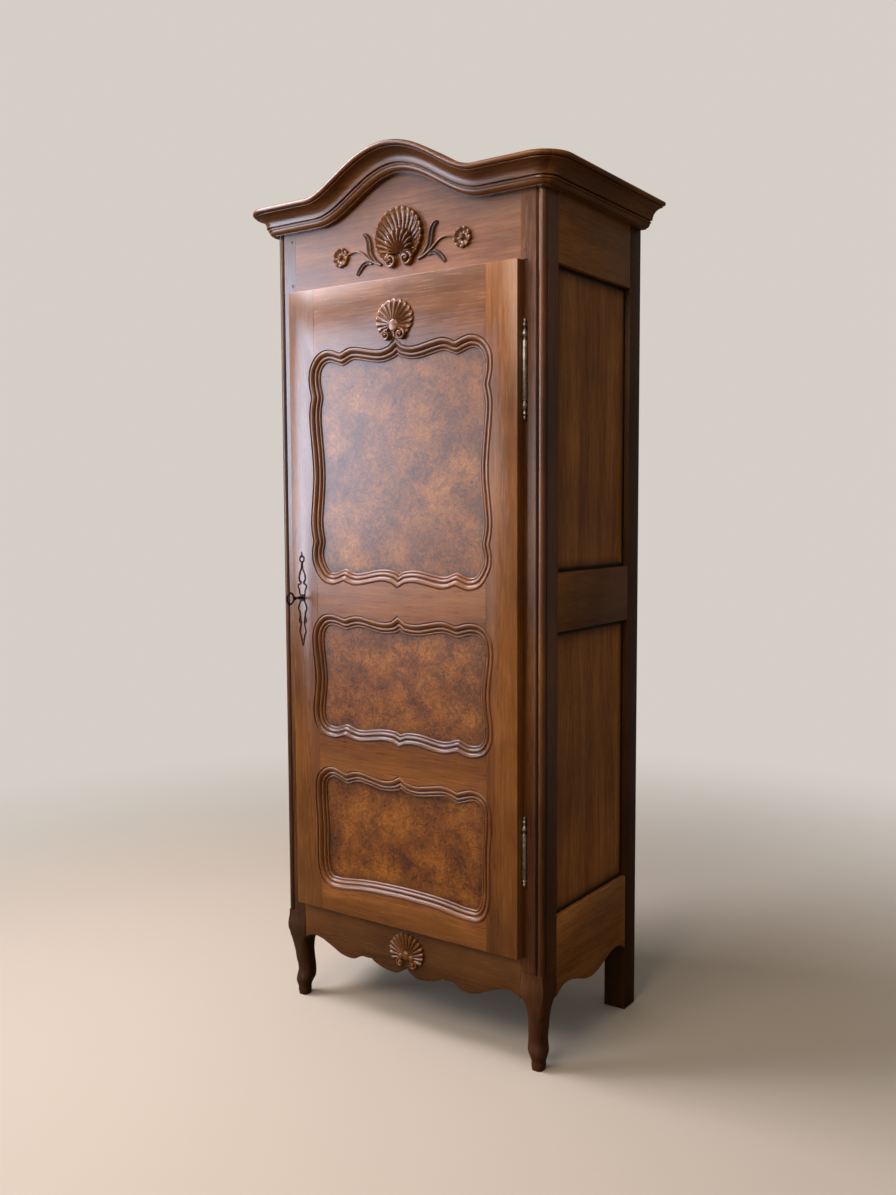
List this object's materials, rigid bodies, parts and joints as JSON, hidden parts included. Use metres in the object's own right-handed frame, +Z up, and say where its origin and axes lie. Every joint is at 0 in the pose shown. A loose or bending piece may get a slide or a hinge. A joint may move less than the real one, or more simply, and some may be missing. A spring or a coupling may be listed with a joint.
{
  "type": "bonnetiere cabinet",
  "caption": "Tall narrow French linen cabinet with an arched moulded cornice, a long door with serpentine moulded panels, vase hinges and short cabriole front feet.",
  "frame": {"origin": "centre of the bounding box at floor level, under the middle of the cabinet and its key", "axes": "+Z up, +Y from the door to the back, +X to the right of someone facing the door"},
  "size_m": [0.936, 0.575, 2.192],
  "materials": {
    "walnut": "waxed walnut, satin",
    "side_walnut": "darker waxed walnut, satin",
    "burr": "waxed burr wood, satin",
    "inner_wood": "bare, dry wood",
    "hinge_steel": "worn bright steel with brown patina",
    "black_iron": "blackened wrought iron"
  },
  "bodies": {
    "carcase": {"front_post_left": "walnut", "front_post_right": "walnut", "frieze_rail": "walnut", "apron_rail": "walnut", "cornice_front": "walnut", "rear_post_left": "side_walnut", "rear_post_right": "side_walnut", "side_top_rail_left": "side_walnut", "side_top_rail_right": "side_walnut", "side_middle_rail_left": "side_walnut", "side_middle_rail_right": "side_walnut", "side_bottom_rail_left": "side_walnut", "side_bottom_rail_right": "side_walnut", "side_upper_panel_left": "side_walnut", "side_upper_panel_right": "side_walnut", "side_lower_panel_left": "side_walnut", "side_lower_panel_right": "side_walnut", "cornice_left": "side_walnut", "cornice_right": "side_walnut", "frieze_peg_lower_left": "side_walnut", "frieze_peg_lower_right": "side_walnut", "frieze_peg_upper_left": "side_walnut", "frieze_peg_upper_right": "side_walnut", "back_top_rail": "inner_wood", "back_bottom_rail": "inner_wood", "back_board_1": "inner_wood", "back_board_2": "inner_wood", "back_board_3": "inner_wood", "back_board_4": "inner_wood", "floor_board": "inner_wood", "top_board": "inner_wood", "shelf_lower": "inner_wood", "shelf_middle": "inner_wood", "shelf_upper": "inner_wood", "cleat_lower_left": "inner_wood", "cleat_lower_right": "inner_wood", "cleat_middle_left": "inner_wood", "cleat_middle_right": "inner_wood", "cleat_upper_left": "inner_wood", "cleat_upper_right": "inner_wood", "hinge_upper_frame_knuckle": "hinge_steel", "hinge_lower_frame_knuckle": "hinge_steel", "strike_plate": "black_iron"},
    "door": {"hinge_stile": "walnut", "lock_stile": "walnut", "door_top_rail": "walnut", "door_lock_rail": "walnut", "door_lower_rail": "walnut", "door_bottom_rail": "walnut", "door_upper_panel": "burr", "door_middle_panel": "burr", "door_lower_panel": "burr", "hinge_upper_door_knuckle": "hinge_steel", "hinge_lower_door_knuckle": "hinge_steel", "escutcheon": "black_iron", "lock_case": "black_iron"},
    "bolt": {"lock_bolt": "black_iron"},
    "key": {"key": "black_iron"}
  },
  "joints": [
    {"name": "door_hinge", "type": "hinge", "parent": "carcase", "child": "door", "pos_m": [0.351, -0.2045, 1.081], "axis": [0, 0, 1], "range_deg": [0, 105]},
    {"name": "key_turn", "type": "hinge", "parent": "door", "child": "key", "pos_m": [-0.312, -0.2265, 1.1], "axis": [0, 1, 0], "range_deg": [0, 360]},
    {"name": "bolt_slide", "type": "slide", "parent": "door", "child": "bolt", "axis": [-1, 0, 0], "range_m": [0, 0.014]}
  ],
  "couplings": [
    {"joint": "bolt_slide", "follows": "key_turn", "m_per_rad": 0.0022281}
  ]
}
